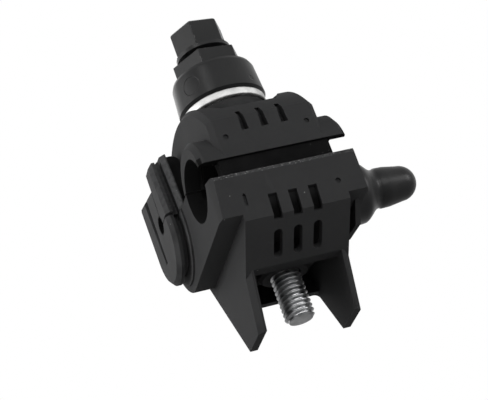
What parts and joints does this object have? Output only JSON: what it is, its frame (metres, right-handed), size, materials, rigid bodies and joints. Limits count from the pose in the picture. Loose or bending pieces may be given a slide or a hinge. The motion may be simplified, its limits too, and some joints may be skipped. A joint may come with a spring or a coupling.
{
  "type": "insulation piercing connector",
  "caption": "Two-part black plastic cable clamp with a hexagonal break-off screw head, an open main cable groove, a tap groove with a rubber end cap, and two feet.",
  "frame": {"origin": "centre of the main cable groove, midway between the two end faces", "axes": "+X along both cable grooves towards the rubber end cap, +Y from the main groove to the tap groove, +Z along the clamp screw up to the shear head"},
  "size_m": [0.072, 0.0549, 0.0909],
  "materials": {
    "housing": "fine matt moulded",
    "shear_plastic": "satin moulded",
    "zinc_steel": "zinc plated",
    "galvanised": "bright galvanised",
    "seal_rubber": "matt",
    "gland_rubber": "matt",
    "cap_rubber": "semi gloss",
    "tinned_contact": "tinned"
  },
  "bodies": {
    "base": {"lower_body": "housing", "captive_nut": "zinc_steel", "nut_retainer": "housing", "end_cap": "cap_rubber", "blade_lower_left": "tinned_contact", "blade_lower_right": "tinned_contact", "gland_left_lower": "gland_rubber", "gland_right_lower": "gland_rubber", "main_seal_lower": "seal_rubber", "tap_seal_lower": "seal_rubber"},
    "jaw": {"upper_body": "housing", "bolt_seal": "seal_rubber", "blade_upper_left": "tinned_contact", "blade_upper_right": "tinned_contact", "gland_left_upper": "gland_rubber", "gland_right_upper": "gland_rubber", "main_seal_upper": "seal_rubber", "tap_seal_upper": "seal_rubber"},
    "screw": {"bolt": "zinc_steel", "shear_head": "shear_plastic", "load_washer": "galvanised"}
  },
  "joints": [
    {"name": "jaw_slide", "type": "slide", "parent": "base", "child": "jaw", "axis": [0, 0, 1], "range_m": [0, 0.012]},
    {"name": "bolt_turn", "type": "hinge", "parent": "jaw", "child": "screw", "pos_m": [0, 0.014, 0], "axis": [0, 0, 1], "range_deg": [0, 3456]}
  ],
  "couplings": [
    {"joint": "bolt_turn", "follows": "jaw_slide", "rad_per_m": 5026.5}
  ]
}
